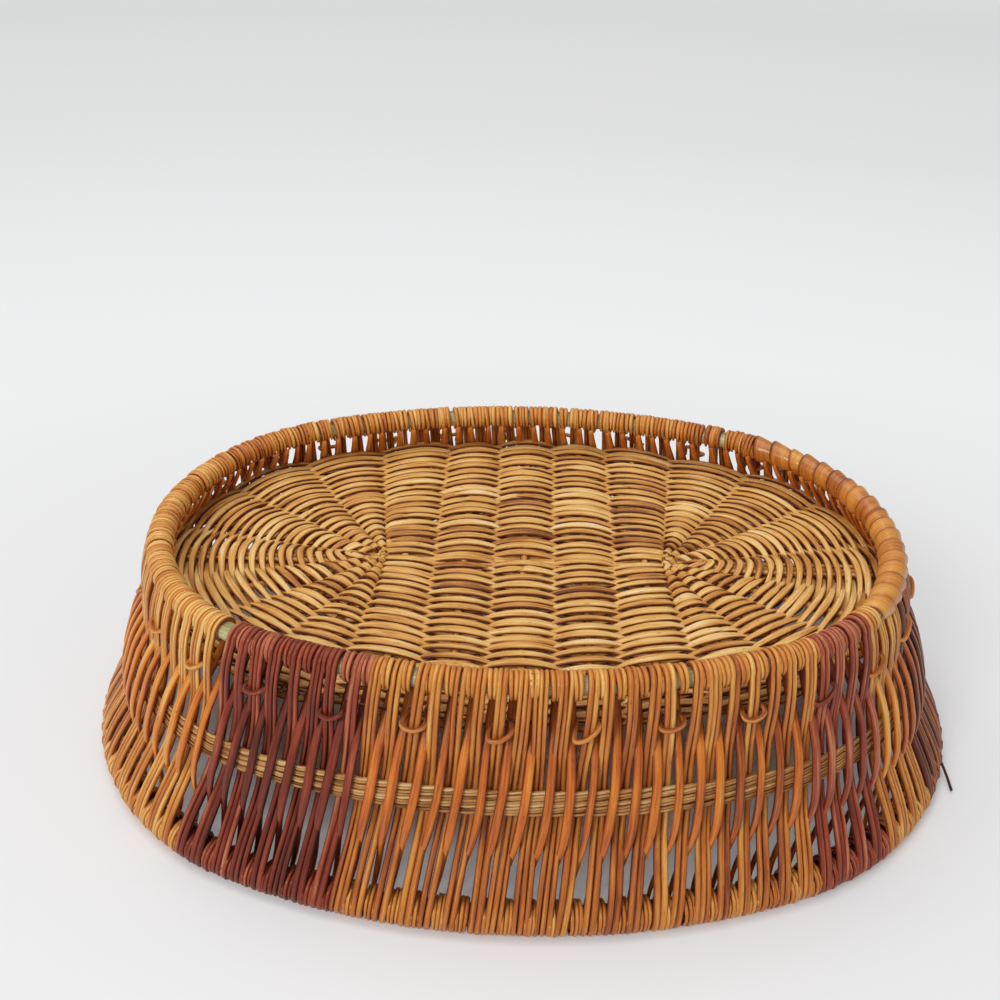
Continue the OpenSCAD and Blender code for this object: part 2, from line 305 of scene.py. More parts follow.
def wicker_finish(name, shades, fibre=1.0, streak=0.24, blotch=0.28, smooth=0.34, dull=0.62,
                  varnish=0.24, relief=0.5, shine=0.36):
    """A strand's finish. Shades run from its darkest tint to its lightest."""
    material = bpy.data.materials.new(name)
    material.use_nodes = True
    tree = material.node_tree
    tree.nodes.clear()

    def node(kind):
        return tree.nodes.new("ShaderNode" + kind)

    def stretched_noise(scale, detail):
        mapping = node("Mapping")
        mapping.inputs["Scale"].default_value = scale
        noise = node("TexNoise")
        noise.inputs["Scale"].default_value = 1.0
        noise.inputs["Detail"].default_value = detail
        noise.inputs["Roughness"].default_value = NOISE_ROUGHNESS
        tree.links.new(grain.outputs["Vector"], mapping.inputs["Vector"])
        tree.links.new(mapping.outputs["Vector"], noise.inputs["Vector"])
        return noise.outputs["Fac"]

    def range_of(value, low, high, to_low, to_high):
        part = node("MapRange")
        sockets = ("From Min", "From Max", "To Min", "To Max")
        for socket, number in zip(sockets, (low, high, to_low, to_high)):
            part.inputs[socket].default_value = number
        tree.links.new(value, part.inputs["Value"])
        return part.outputs["Result"]

    def total(first, second):
        part = node("Math")
        tree.links.new(first, part.inputs[0])
        tree.links.new(second, part.inputs[1])
        return part.outputs[0]

    grain = node("Attribute")
    grain.attribute_name = "grain"
    tint = node("Attribute")
    tint.attribute_name = "tint"
    fibre_across = FIBRE_ACROSS * fibre
    fibres = stretched_noise((FIBRE_ALONG, fibre_across, fibre_across), FIBRE_DETAIL)
    blotches = stretched_noise(BLOTCH_SCALE, BLOTCH_DETAIL)
    flecks = stretched_noise(FLECK_SCALE, FLECK_DETAIL)

    shade = total(tint.outputs["Fac"], range_of(fibres, NOISE_LOW, NOISE_HIGH, -streak, streak))
    shade = total(shade, range_of(blotches, NOISE_LOW, NOISE_HIGH, -blotch / 2, blotch / 2))
    ramp = node("ValToRGB")
    steps = ramp.color_ramp.elements
    while len(steps) < len(shades):
        steps.new(0.5)
    for number, colour in enumerate(shades):
        steps[number].position = number / (len(shades) - 1)
        steps[number].color = linear(*colour)
    tree.links.new(shade, ramp.inputs["Fac"])
    darker = node("MixRGB")
    darker.blend_type = "MULTIPLY"
    darker.inputs["Color2"].default_value = FLECK_COLOUR
    fleck_share = range_of(flecks, FLECK_LOW, FLECK_HIGH, 0.0, FLECK_STRENGTH)
    tree.links.new(fleck_share, darker.inputs["Fac"])
    tree.links.new(ramp.outputs["Color"], darker.inputs["Color1"])

    bump = node("Bump")
    bump.inputs["Strength"].default_value = relief
    bump.inputs["Distance"].default_value = FIBRE_DEPTH
    tree.links.new(fibres, bump.inputs["Height"])
    shader = node("BsdfPrincipled")
    shader.inputs["Coat Weight"].default_value = varnish
    shader.inputs["Coat Roughness"].default_value = VARNISH_ROUGHNESS
    shader.inputs["Specular IOR Level"].default_value = shine
    tree.links.new(darker.outputs["Color"], shader.inputs["Base Color"])
    roughness = range_of(fibres, NOISE_LOW, NOISE_HIGH, smooth, dull)
    tree.links.new(roughness, shader.inputs["Roughness"])
    tree.links.new(bump.outputs["Normal"], shader.inputs["Normal"])
    output = node("OutputMaterial")
    tree.links.new(shader.outputs["BSDF"], output.inputs["Surface"])
    return material


print("fibre scale along and across a strand:", FIBRE_ALONG, FIBRE_ACROSS)

# %% Finishes
honey_finish = wicker_finish(
    "honey_wicker", [(98, 40, 13), (160, 78, 25), (198, 114, 39), (220, 150, 62), (240, 194, 112)]
)
amber_finish = wicker_finish(
    "amber_wicker", [(92, 38, 11), (160, 72, 18), (208, 108, 26), (227, 140, 42), (242, 184, 92)]
)
red_brown_finish = wicker_finish(
    "red_brown_wicker",
    [(56, 18, 10), (100, 34, 16), (134, 49, 24), (164, 75, 44), (202, 127, 90)],
    shine=0.26,
)
straw_finish = wicker_finish(
    "straw_wicker",
    [(112, 54, 17), (196, 126, 52), (228, 172, 90), (242, 204, 136), (252, 232, 190)],
    blotch=0.36, smooth=0.42, dull=0.72, varnish=0.12,
)
band_finish = wicker_finish(
    "band_straw",
    [(92, 48, 22), (160, 102, 50), (208, 152, 86), (232, 190, 128), (244, 216, 166)],
    fibre=0.7, streak=0.34, blotch=0.4, smooth=0.6, dull=0.85, varnish=0.0, relief=0.9,
)
splint_finish = wicker_finish(
    "golden_splint_wicker",
    [(112, 50, 14), (182, 98, 30), (218, 142, 54), (234, 174, 84), (248, 214, 142)],
    streak=0.14, smooth=0.2, dull=0.42, varnish=0.4,
)
hoop_finish = wicker_finish(
    "peeled_hoop", [(120, 108, 66), (166, 154, 102), (196, 186, 136), (212, 204, 160), (226, 220, 184)]
)
print("finishes:", [m.name for m in bpy.data.materials if m.name.endswith(("wicker", "straw", "hoop"))])

# %% [markdown]
# The two hoops
#
# Each hoop is one peeled rod, bent round and joined. It shows only where the wrapping leaves a gap, so
# a rod with slight bends and an uneven thickness is enough. Unevenness comes from waves with random
# starts. The dice are seeded, so every run gives the same basket.

# %% Hoops
BASKET_SEED = 11
HOOP_STEPS, HOOP_SIDES = 360, 12
HOOP_WAVER, HOOP_SWELL = 0.06, 0.05
# The rim hoop's tint is low, a darker amber, as painted shade: the rod shows only in the shaded valleys
# between the humps.
RIM_HOOP_SHADED_TINT, FOOT_HOOP_TINT = 0.2, 0.55
dice = np.random.default_rng(BASKET_SEED)


def slow_waves(places, period, strength, count=4):
    """Smooth unevenness along a line that closes after the period."""
    total = np.zeros_like(places, float)
    for wave in range(1, count + 1):
        start = dice.uniform(0, 2 * math.pi)
        total += np.sin(2 * math.pi * wave * places / period + start) / wave
    return strength * total


def make_hoop(node, offset, z, rod, finish, slot, tint):
    bundle = Bundle()
    s = np.linspace(0, girth, HOOP_STEPS, endpoint=False)
    reach = offset + slow_waves(s, girth / 3, HOOP_WAVER)
    height = z + slow_waves(s, girth / 2, HOOP_WAVER)
    path = wall_points(s, 0, reach, height)[0]
    thickness = rod + slow_waves(s, girth, HOOP_SWELL)
    bundle.strand(path, np.array(up), thickness, thickness, tint, sides=HOOP_SIDES, closed=True)
    make_piece(node + "_rod", bundle, [finish], slot, node)


make_hoop("rim_hoop", flare, rim_z, rim_rod, amber_finish, "amber_wicker", RIM_HOOP_SHADED_TINT)
make_hoop("foot_hoop", 0.0, foot_z, foot_rod, hoop_finish, "straw_wicker", FOOT_HOOP_TINT)

# %% [markdown]
# The line of the wall
#
# Between the hoops the wall bows out a little. Pairs of thin strands pass outside both hoops and inside
# the waist band, and single sticks go the other way, so each is a soft S. Both lean, more below the
# band than above it. An array modifier along a curve could set out one strand many times, but then all
# would be the same.

# %% Wall line
WALL_BOW = 1.6
LEAN_BEND = 5.0
LEAN_CENTRE = 0.9


def wall_line(z):
    """How far the wall stands outside the foot hoop's line at a height."""
    rise = (z - rim_z) / (foot_z - rim_z)
    return flare * (1 - rise) + 4 * WALL_BOW * rise * (1 - rise)


def ease(share):
    return (1 - np.cos(math.pi * np.clip(share, 0, 1))) / 2


def weave(z, at_foot, at_band, at_rim):
    """How far a strand stands off the wall's line: eased between the hoops and the band."""
    above_band = ease((z - band_high) / (foot_z - band_high))
    below_band = ease((band_low - z) / (band_low - rim_z))
    return at_band + (at_foot - at_band) * above_band + (at_rim - at_band) * below_band


def lean_shift(z, upper, lower):
    """How far a strand that leans above and below the band has moved along the wall at a height."""
    above_band = LEAN_BEND * np.log1p(np.exp((z - band_middle) / LEAN_BEND))
    below_band = LEAN_BEND * np.log1p(np.exp((band_middle - z) / LEAN_BEND))
    return LEAN_CENTRE + math.tan(upper) * above_band - math.tan(lower) * below_band


def tapered(number, ends=3, tip=0.45):
    """Width along an open strand, as a share: narrower at both tips."""
    from_end = np.minimum(np.arange(number), np.arange(number)[::-1])
    return np.minimum(1, tip + (1 - tip) * from_end / ends)


print("at the band the wall stands out by", wall_line(band_middle))

# %% Stretches of the wall
SECTORS = [
    "right_front", "right_back", "back_right_corner", "back_right", "back_left", "back_left_corner",
    "left_back", "left_front", "front_left", "front_centre", "front_right", "front_right_corner",
]
SECTOR_STARTS = [0, 10, 20, 30, 41, 51, 61, 71, 82, 90, 101, 112, unit_count]
RED_SECTORS = ("front_left", "front_right_corner")
RED_FINISH, SPLINT_FINISH = 1, 2
sector_units = {
    name: range(first, last) for name, first, last in zip(SECTORS, SECTOR_STARTS[:-1], SECTOR_STARTS[1:])
}
red_units = {unit for sector in RED_SECTORS for unit in sector_units[sector]}


def stained(unit):
    """The red-brown finish for a unit of strands that were stained, and 0 for the plain ones."""
    return RED_FINISH if unit in red_units else 0


def sector_slot(sector, plain_slot):
    return "red_brown_wicker" if sector in RED_SECTORS else plain_slot


print("stretches:", len(SECTORS), "stained units:", len(red_units))

# %% Tint and slip of each unit
TINT_MIDDLE = 0.52
PAIR_TINT_WAVES, PAIR_TINT_SPREAD = 0.06, 0.05
# First unit, end of the stretch, and the tint gained there
PAIR_TINT_GAINS = [(0, 4, 0.22), (4, 12, -0.24), (30, 62, 0.14), (62, 82, 0.26), (112, 116, 0.22)]
SLIP_SPREAD = 0.22
BARE_UNIT, BARE_HALF_GAP = 81, 0.5
units = np.arange(unit_count)


def tints_round(waves, spread, gains):
    """A tint for every unit: slow waves, a spread, and a gain or loss over some stretches."""
    tints = TINT_MIDDLE + slow_waves(units, unit_count, waves) + dice.normal(0, spread, unit_count)
    for first, last, gain in gains:
        tints[first:last] += gain
    return tints


unit_tint = tints_round(PAIR_TINT_WAVES, PAIR_TINT_SPREAD, PAIR_TINT_GAINS)
unit_slip = dice.normal(0, SLIP_SPREAD, unit_count)
unit_slip[BARE_UNIT] -= BARE_HALF_GAP
unit_slip[BARE_UNIT + 1] += BARE_HALF_GAP
print("tints from", unit_tint.min(), "to", unit_tint.max())

# %% [markdown]
# Wall pairs
#
# A pair is two thin round strands side by side, and in about a third of the places three thinner ones.
# It starts inside the foot, hooks over the hoop, runs down outside, slips behind the waist band, comes
# out again and hooks under the rim, where its strands are thickest. A curve object could hold that
# path, but each strand has its own slip, waver, thickness and tint. So the path is drawn once as
# offsets and heights, and every strand is swept along its own copy. Where the splint covers the foot,
# the strands start under it.

# %% Path of a pair
PAIR_STRAND, PAIR_GAP = 1.65, 1.65
BUTT_GAIN = 0.27
SNUG = 0.12
BAND_HALF_DEPTH = 0.95
PAIR_UPPER_LEAN, PAIR_LOWER_LEAN = math.radians(3.5), math.radians(7.5)
FOOT_HOOK_START, FOOT_HOOK_STEPS = 215, 13
RIM_HOOK_END, RIM_HOOK_STEPS = -165, 10
WALL_STEPS = 28
pair_at_foot = foot_rod / 2 + SNUG + PAIR_STRAND / 2
pair_at_rim = rim_rod / 2 + SNUG + PAIR_STRAND / 2
pair_at_band = -(BAND_HALF_DEPTH + SNUG + PAIR_STRAND / 2)


def pair_line(z):
    return wall_line(z) + weave(z, pair_at_foot, pair_at_band, pair_at_rim)


foot_hook = np.radians(np.linspace(FOOT_HOOK_START, 0, FOOT_HOOK_STEPS))
rim_hook = np.radians(np.linspace(0, RIM_HOOK_END, RIM_HOOK_STEPS))
wall_heights = np.linspace(foot_z, rim_z, WALL_STEPS)[1:-1]
pair_offset = np.concatenate([
    pair_at_foot * np.cos(foot_hook), pair_line(wall_heights), flare + pair_at_rim * np.cos(rim_hook),
])
pair_height = np.concatenate([
    foot_z + pair_at_foot * np.sin(foot_hook), wall_heights, rim_z + pair_at_rim * np.sin(rim_hook),
])
pair_height = np.maximum(pair_height, PAIR_STRAND * (1 + BUTT_GAIN) / 2)
pair_shift = lean_shift(pair_height, PAIR_UPPER_LEAN, PAIR_LOWER_LEAN)
butt = 1 + BUTT_GAIN * ease((foot_z - pair_height) / (foot_z - rim_z))
pair_width = tapered(len(pair_height)) * butt
print("points along a pair:", len(pair_height))

# %% Painted top light, darkening and waver
# Near the foot a pair's tint is lighter, as painted light on the top; half way down the lower wall it is
# darker.
TOP_LIGHT, TOP_LIGHT_REACH = 0.12, 8
LOWER_DARKENING, LOWER_DARK_REACH = 0.08, 10
SPLINT_UNITS = range(1, 24)
TUCK, TUCK_REACH = 1.3, 5
WAVER_TURNS = (0.6, 1.6)
tucked_offset = pair_offset - TUCK * np.exp(-((foot_z - pair_height) / TUCK_REACH) ** 2)
top_light_and_low_dark = TOP_LIGHT * np.exp(-((foot_z - pair_height) / TOP_LIGHT_REACH) ** 2)
top_light_and_low_dark = top_light_and_low_dark - LOWER_DARKENING * np.exp(-((pair_height - band_low / 2) / LOWER_DARK_REACH) ** 2)


def waver(heights, strength):
    """A slow sideways waver down a strand."""
    start, turns = dice.uniform(0, 2 * math.pi), dice.uniform(*WAVER_TURNS)
    return strength * np.sin(start + 2 * math.pi * turns * (heights - rim_z) / (foot_z - rim_z))


print("tint_shift along a pair from", top_light_and_low_dark.min(), "to", top_light_and_low_dark.max())

# %% Pairs
TWO_PLACES, THREE_PLACES = (-0.5, 0.5), (-0.8, 0.0, 0.8)
THIRD_SHARE, THIRD_SIZE = 0.36, 0.8
# The second number darkens the edges of the pair's strands: painted shade between them.
PRESSED, PAIR_SEAM_SHADE = 1.06, 0.62
PAIR_WAVER, STRAND_WAVER = 0.22, 0.08
LEAN_SPREAD, GAP_SPREAD, SIZE_SPREAD, TINT_SPREAD = 0.016, 0.04, 0.05, 0.09
pair_bundles = {sector: Bundle() for sector in SECTORS}
for sector, numbers in sector_units.items():
    for unit in numbers:
        covered = unit in SPLINT_UNITS
        first = len(foot_hook) - 1 if covered else 0
        offset = tucked_offset if covered else pair_offset
        spread = 1 + dice.normal(0, GAP_SPREAD)
        both = waver(pair_height, PAIR_WAVER)
        both = both + dice.normal(0, LEAN_SPREAD) * (pair_height - band_middle)
        plain = dice.random() > THIRD_SHARE or unit in (BARE_UNIT, BARE_UNIT + 1)
        thin = 1 if plain else THIRD_SIZE
        for side in TWO_PLACES if plain else THREE_PLACES:
            along = pair_shift + unit_slip[unit] + both + side * PAIR_GAP * spread * butt
            along = along + waver(pair_height, STRAND_WAVER)
            path, way = wall_points(unit * unit_step, along, offset, pair_height)
            strand = PAIR_STRAND * pair_width * thin * (1 + dice.normal(0, SIZE_SPREAD))
            tint = unit_tint[unit] + dice.normal(0, TINT_SPREAD) + top_light_and_low_dark
            pair_bundles[sector].strand(
                path[first:], way[first:], PRESSED * strand[first:], strand[first:] / PRESSED, tint[first:],
                finish=stained(unit), seam_shade=PAIR_SEAM_SHADE,
            )
print("pair strands:", sum(bundle.strands for bundle in pair_bundles.values()))

# %% [markdown]
# A loose end
#
# On a handmade basket one dark end is often left uncut. This one comes out of the rim at the right and
# reaches down to the table. A curve object with a bevel could draw it, but that would be a piece with
# no solid part of its own. So it is a soft curve through four points, swept with the strand tool, and
# it goes into the mesh of the pairs there.

# %% Loose end
LOOSE_END = [(138.5, -22, 5.5), (140.6, -28, 4), (141.6, -34.5, 2.4), (142, -41, 1)]
LOOSE_WIDTH, LOOSE_THICKNESS, LOOSE_TINT = 1.3, 0.9, 0.0
pair_finishes = [honey_finish, red_brown_finish]


def smooth_path(points, steps=6):
    """A soft curve that passes through a few points."""
    points = np.asarray(points, float)
    padded = np.concatenate([points[:1], points, points[-1:]])
    share = np.linspace(0, 1, steps, endpoint=False)[:, None]
    pieces = []
    for a, b, c, d in zip(padded[:-3], padded[1:-2], padded[2:-1], padded[3:]):
        bend = 2 * a - 5 * b + 4 * c - d
        twist = 3 * b - a - 3 * c + d
        pieces.append((2 * b + (c - a) * share + bend * share**2 + twist * share**3) / 2)
    return np.concatenate([*pieces, points[-1:]])


pair_bundles["right_front"].strand(
    smooth_path(LOOSE_END), (0, 1, 0), LOOSE_WIDTH, LOOSE_THICKNESS, LOOSE_TINT, finish=RED_FINISH
)
for sector, bundle in pair_bundles.items():
    slot = sector_slot(sector, "honey_wicker")
    make_piece("wall_pairs_strands_" + sector, bundle, pair_finishes, slot, "wall_pairs_" + sector)

# %% [markdown]
# Wall sticks
#
# Between two pairs stands one flat stick, rounded on its edges. It starts inside the foot, crosses
# outside the band, where it shows as a broad bright stripe, and dives back behind the pair below,
# narrowed to a blade. A round curve bevel would lose the stripe. A flat section held along the wall
# gives it two soft edges.

# %% Line of a stick
STICK_WIDTH, STICK_THICKNESS = 2.8, 1.5
STICK_UPPER_LEAN, STICK_LOWER_LEAN = math.radians(3.5), math.radians(11.5)
STICK_DROP, STICK_REST, STICK_STEPS = 2.0, 1.5, 30
BLADE_LOSS = 0.34
WRAP_STRAND = 1.15
stick_at_foot = -(foot_rod / 2 + WRAP_STRAND + 2 * SNUG + STICK_THICKNESS / 2)
stick_at_rim = -(rim_rod / 2 + WRAP_STRAND + 2 * SNUG + STICK_THICKNESS / 2)
stick_at_band = BAND_HALF_DEPTH + SNUG + STICK_THICKNESS / 2
stick_height = np.linspace(foot_z - STICK_DROP, rim_z - STICK_REST, STICK_STEPS)
stick_offset = wall_line(stick_height) + weave(stick_height, stick_at_foot, stick_at_band, stick_at_rim)
stick_shift = lean_shift(stick_height, STICK_UPPER_LEAN, STICK_LOWER_LEAN)
blade = 1 - BLADE_LOSS * ease(2 * (band_low - stick_height) / (band_low - rim_z))
print("stick from", stick_height[0], "down to", stick_height[-1])

# %% Sticks
STICK_TINT_WAVES, STICK_TINT_SPREAD = 0.05, 0.08
STICK_TINT_GAINS = [(0, 4, 0.2), (4, 12, -0.24), (30, 62, 0.15), (62, 82, 0.32), (111, 116, 0.22)]
STICK_SLIP, STICK_WAVER, STICK_SIZE_SPREAD = 0.2, 0.28, 0.06
STICK_TIP_STEPS, STICK_TIP = 4, 0.7
STICK_SIDES, STICK_SQUARE = 12, 0.85
LONE_RED_STICK = 111
stick_tint = tints_round(STICK_TINT_WAVES, STICK_TINT_SPREAD, STICK_TINT_GAINS)
stick_taper = tapered(len(stick_height), STICK_TIP_STEPS, STICK_TIP)
stick_finishes = [amber_finish, red_brown_finish]
for sector, numbers in sector_units.items():
    bundle = Bundle()
    for unit in numbers:
        along = stick_shift + dice.normal(0, STICK_SLIP) + waver(stick_height, STICK_WAVER)
        along = along + dice.normal(0, LEAN_SPREAD) * (stick_height - band_middle)
        path, way = wall_points((unit + 0.5) * unit_step, along, stick_offset, stick_height)
        size = stick_taper * (1 + dice.normal(0, STICK_SIZE_SPREAD))
        finish = RED_FINISH if unit == LONE_RED_STICK else stained(unit)
        bundle.strand(
            path, way, STICK_WIDTH * blade * size, STICK_THICKNESS * size, stick_tint[unit],
            sides=STICK_SIDES, square=STICK_SQUARE, finish=finish,
        )
    slot = sector_slot(sector, "amber_wicker")
    make_piece("wall_sticks_strips_" + sector, bundle, stick_finishes, slot, "wall_sticks_" + sector)

# %% [markdown]
# The waist band
#
# Four rows of rough straw hold the pairs and the sticks at half height. Each row is two thin straws,
# one over the other, pushed out by every pair and in by every stick. One flat strip a row would be
# quicker, but then the rough, split look is lost. The band rises a little in the middle of the front.

# %% Band
STRAW_WIDTH, STRAW_THICKNESS, STRAW_PITCH, BAND_PUSH = 1.02, 1.1, 0.86, 0.2
STRAWS_PER_ROW, STEPS_PER_UNIT = 2, 6
STRAW_SIDES, STRAW_SQUARE = 8, 0.8
BAND_RISE, RISE_UNIT, RISE_REACH = 1.4, 98, 9
STRAW_LIFT, STRAW_WAVER, STRAW_SWELL = 0.13, 0.06, 0.07
STRAW_TINT, STRAW_TINT_STEP, STRAW_TINT_SPREAD, STRAW_TINT_WAVES = 0.5, 0.04, 0.09, 0.06
straw_count = STRAWS_PER_ROW * len(BAND_NODES)
band_s = np.linspace(0, girth, unit_count * STEPS_PER_UNIT, endpoint=False)
band_rise = BAND_RISE * np.exp(-((band_s / unit_step - RISE_UNIT) / RISE_REACH) ** 2)
band_push = BAND_PUSH * np.cos(2 * math.pi * band_s / unit_step)
for row, band_node in enumerate(BAND_NODES):
    bundle = Bundle()
    for straw in range(STRAWS_PER_ROW):
        level = row * STRAWS_PER_ROW + straw - (straw_count - 1) / 2
        heights = band_middle + band_rise + level * STRAW_PITCH
        heights = heights + slow_waves(band_s, girth / 5, STRAW_LIFT)
        reach = wall_line(heights) + band_push + slow_waves(band_s, girth / 7, STRAW_WAVER)
        path = wall_points(band_s, 0, reach, heights)[0]
        width = STRAW_WIDTH * (1 + slow_waves(band_s, girth / 11, STRAW_SWELL))
        tint = STRAW_TINT + STRAW_TINT_STEP * level + dice.normal(0, STRAW_TINT_SPREAD)
        tint = tint + slow_waves(band_s, girth / 3, STRAW_TINT_WAVES)
        bundle.strand(
            path, np.array(up), width, STRAW_THICKNESS, tint,
            sides=STRAW_SIDES, square=STRAW_SQUARE, closed=True,
        )
    make_piece("waist_" + band_node, bundle, [band_finish], "straw_wicker", band_node)

# %% [markdown]
# Wrapping on the rim
#
# Between two pairs the rim is wound three times with the same thin strand. The pairs press the outer
# turns down, so each winding is a small hump. A Screw modifier could wind a helix, but only round a
# straight line, and it would still have to be bent to the oval. So each winding is worked out on the
# oval itself, as a helix with more radius in the middle, which gives the hump.

# %% Winding tool
TURN_STEPS = 14
WINDING_START = math.radians(200)
WINDING_SPREAD = 0.28
WINDING_TIP = 0.5
WINDING_TINT_SPREAD = 0.08
THINNEST_WINDING = 0.98


def room_between_pairs(s, offset):
    """Length of hoop that two neighbouring pairs leave free."""
    radius = oval_frame(s)[2]
    return unit_step * (radius + offset) / (radius + half_flare) - 2 * PAIR_GAP


def wind_between(bundle, unit, offset, z, rod, turns, hump, thickest, tint_gain):
    """Winds a strand round a hoop after a unit's pair. It leans with the pairs and spreads on top."""
    s = (unit + 0.5) * unit_step
    pitch = room_between_pairs(s, offset) / turns
    slip = (unit_slip[unit] + unit_slip[(unit + 1) % unit_count]) / 2
    strand = pitch * dice.uniform(THINNEST_WINDING, thickest)
    tint = unit_tint[unit] + dice.normal(0, WINDING_TINT_SPREAD) + tint_gain
    turn = np.linspace(0, turns, turns * TURN_STEPS + 1)
    angle = WINDING_START - 2 * math.pi * turn
    reach = rod / 2 + SNUG + strand / 2 + hump * (1 - (2 * turn / turns - 1) ** 2)
    height = np.maximum(z + reach * np.sin(angle), strand / 2)
    spread = 1 + WINDING_SPREAD * np.clip(np.sin(angle), 0, 1)
    along = slip + lean_shift(height, PAIR_UPPER_LEAN, PAIR_LOWER_LEAN)
    along = along + (turn - turns / 2) * pitch * spread
    path, way = wall_points(s, along, offset + reach * np.cos(angle), height)
    size = strand * tapered(len(turn), tip=WINDING_TIP)
    bundle.strand(path, way, size * spread, size, tint, finish=stained(unit))


print("room between pairs on the rim:", room_between_pairs(0.0, flare))

# %% Rim wraps
RIM_TURNS, RIM_HUMP = 3, 0.75
RIM_THICKEST, RIM_TINT_GAIN = 1.08, 0.05
for sector, numbers in sector_units.items():
    bundle = Bundle()
    for unit in numbers:
        wind_between(
            bundle, unit, flare, rim_z, rim_rod, RIM_TURNS, RIM_HUMP, RIM_THICKEST, RIM_TINT_GAIN
        )
    slot = sector_slot(sector, "honey_wicker")
    make_piece("rim_windings_" + sector, bundle, pair_finishes, slot, "rim_wraps_" + sector)

# %% [markdown]
# Wrapping on the foot
#
# The front, the left and most of the back of the foot are wound twice between two pairs. One gap at
# the left front stays bare, and the hoop shows there. The right is covered by a broad, glossy splint
# that winds over the hoop and the tops of the pairs, each turn lapping the last. Separate rings would
# be easier to set out, but they wouldn't lap. So the splint is a helix with a wide section, tilted so
# that one edge rides up, and there is one helix for each stretch that it covers.

# %% Splint
SPLINT_TURNS, SPLINT_STEPS = 0.8, 18
SPLINT_REACH, SPLINT_END_REACH, SPLINT_REACH_GAIN = 3.5, 0.8, 0.2
SPLINT_THICKNESS, SPLINT_COVER, SPLINT_LAP = 1.4, 1.12, 0.18
SPLINT_TIP_STEPS, SPLINT_TIP = 14, 0.5
SPLINT_TINTS = (0.52, 0.36)
# The last number darkens the splint's edges: painted shade where one turn laps the next.
SPLINT_SIDES, SPLINT_SQUARE, SPLINT_SEAM_SHADE = 14, 0.7, 0.5
# Units in one round of waves, and the strength of the waves
REACH_WAVES, PLACE_WAVES, WIDTH_WAVES, TINT_WAVES = (9, 0.05), (5, 0.06), (7, 0.1), (4, 0.06)
foot_shift = lean_shift(foot_z, PAIR_UPPER_LEAN, PAIR_LOWER_LEAN)


def splint(bundle, first, last):
    """A broad splint wound over the foot and the tops of the pairs, from one unit to another."""
    unit = np.linspace(first, last, (last - first) * SPLINT_STEPS + 1)
    angle = WINDING_START - 2 * math.pi * SPLINT_TURNS * unit
    ends = tapered(len(unit), SPLINT_TIP_STEPS, SPLINT_TIP)
    reach = SPLINT_REACH * (SPLINT_END_REACH + SPLINT_REACH_GAIN * ends) + slow_waves(unit, *REACH_WAVES)
    s = (unit + slow_waves(unit, *PLACE_WAVES)) * unit_step
    path, way = wall_points(s, foot_shift, reach * np.cos(angle), foot_z + reach * np.sin(angle))
    outwards = np.cross(way, np.array(up))
    raised = outwards * np.cos(angle)[:, None] + np.array(up) * np.sin(angle)[:, None]
    radius = oval_frame(s)[2]
    pitch = unit_step / SPLINT_TURNS * radius / (radius + half_flare)
    width = pitch * (SPLINT_COVER + slow_waves(unit, *WIDTH_WAVES)) * ends
    tint = np.linspace(*SPLINT_TINTS, len(unit)) + slow_waves(unit, *TINT_WAVES)
    bundle.strand(
        path, way + SPLINT_LAP * raised, width, SPLINT_THICKNESS, tint,
        sides=SPLINT_SIDES, square=SPLINT_SQUARE, finish=SPLINT_FINISH, seam_shade=SPLINT_SEAM_SHADE,
    )


print("splint turns:", SPLINT_TURNS * len(SPLINT_UNITS))

# %% Foot wraps
FOOT_TURNS, FOOT_HUMP = 2, 0.2
# The foot windings are lighter than the pairs by the last number, as painted light on the top of the foot.
FOOT_THICKEST, FOOT_LIGHT_GAIN = 1.06, 0.13
FOOT_STRETCHES = {
    "right": SECTORS[0:2], "back": SECTORS[2:6], "left": SECTORS[6:8],
    "front_left": SECTORS[8:9], "front": SECTORS[9:12],
}
foot_finishes = [*pair_finishes, splint_finish]
for stretch, sectors in FOOT_STRETCHES.items():
    bundle = Bundle()
    numbers = [unit for sector in sectors for unit in sector_units[sector]]
    broad = [unit for unit in numbers if unit in SPLINT_UNITS]
    if broad:
        splint(bundle, broad[0], broad[-1] + 1)
    for unit in numbers:
        if unit in SPLINT_UNITS or unit == BARE_UNIT:
            continue
        wind_between(
            bundle, unit, 0.0, foot_z, foot_rod, FOOT_TURNS, FOOT_HUMP, FOOT_THICKEST, FOOT_LIGHT_GAIN
        )
    slot = sector_slot(sectors[0], "honey_wicker")
    make_piece("foot_windings_" + stretch, bundle, foot_finishes, slot, "foot_wraps_" + stretch)

# %% [markdown]
# Sticks of the base
#
# The base lies below the foot's edge. Rods cross it, each slit in the middle so that three flat sticks
# can pass through, and at the two ends more rods fan out. The weaving hides most of them, but they show
# in the gaps. A slit could be cut with a Boolean modifier, but a split rod parts in a soft bow. So each
# cross rod is two halves, one over the other, that part where the flat sticks pass.

# %% Cross sticks
BASE_SEED = 5
CROSS_COUNT, CROSS_SHARE = 5, 0.87
CROSS_STEPS, CROSS_WAVER = 36, 0.12
SLIT_ROOM, SLIT_SHARPNESS = 1.5, 4
BASE_STICK_TINT, BASE_STICK_SPREAD = 0.45, 0.08
dice = np.random.default_rng(BASE_SEED)
base_edge = stick_offset[np.argmin(np.abs(stick_height - base_middle))] - STICK_THICKNESS / 2 - SNUG
long_low, long_high = box_mm("base_long_sticks")
long_thickness = long_high[2] - long_low[2]
slit_half = long_high[1] + SLIT_ROOM
cross_reach = CROSS_SHARE * end_centre

